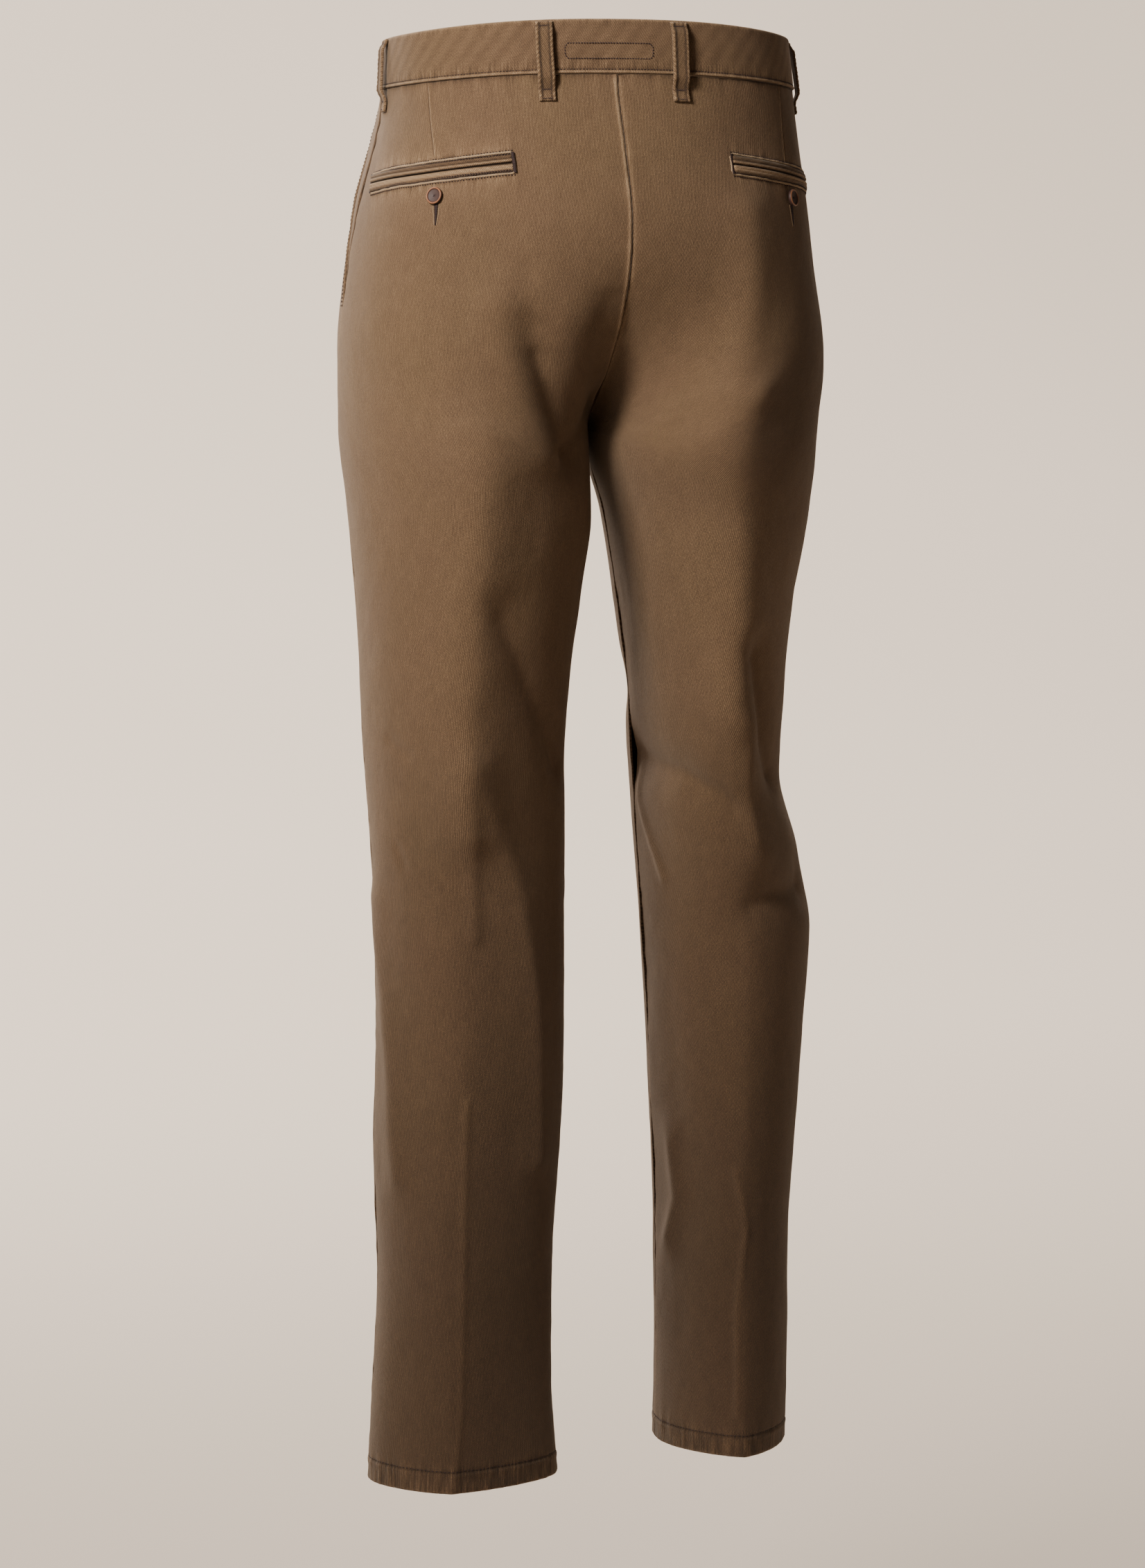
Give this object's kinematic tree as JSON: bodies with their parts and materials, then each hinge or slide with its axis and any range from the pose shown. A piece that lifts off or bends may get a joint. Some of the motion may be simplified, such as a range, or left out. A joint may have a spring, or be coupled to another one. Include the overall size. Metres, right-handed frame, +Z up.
{
  "type": "chino trousers",
  "caption": "Men's straight-leg chino trousers in their hollow worn form, with belt loops, welt back pockets, slant front pockets and a fly.",
  "frame": {"origin": "the middle of the waist opening, level with its top edge at the sides, where the wearer holds the trousers up", "axes": "+Z up out of the waist, +Y behind the wearer, +X to the wearer's left; the right leg is a step ahead, towards -Y"},
  "size_m": [0.3648, 0.3173, 1.0641],
  "materials": {
    "cloth": "brown cotton twill, stonewashed, paler at seams and edges",
    "trim_cloth": "the same twill, cut for loops and welts",
    "button": "dark brown, dished, four holes, satin"
  },
  "bodies": {
    "root": {"back_panel_left": "cloth", "front_panel_left": "cloth", "pocket_facing_left": "cloth", "back_panel_right": "cloth", "front_panel_right": "cloth", "pocket_facing_right": "cloth", "fly_front": "cloth", "waistband": "cloth", "belt_loop_back_left": "trim_cloth", "belt_loop_side_left": "trim_cloth", "belt_loop_front_left": "trim_cloth", "belt_loop_back_right": "trim_cloth", "belt_loop_side_right": "trim_cloth", "belt_loop_front_right": "trim_cloth", "back_pocket_left_upper_welt": "trim_cloth", "back_pocket_left_lower_welt": "trim_cloth", "back_pocket_right_upper_welt": "trim_cloth", "back_pocket_right_lower_welt": "trim_cloth", "back_pocket_left_button": "button", "back_pocket_right_button": "button", "waist_button": "button"}
  },
  "joints": []
}
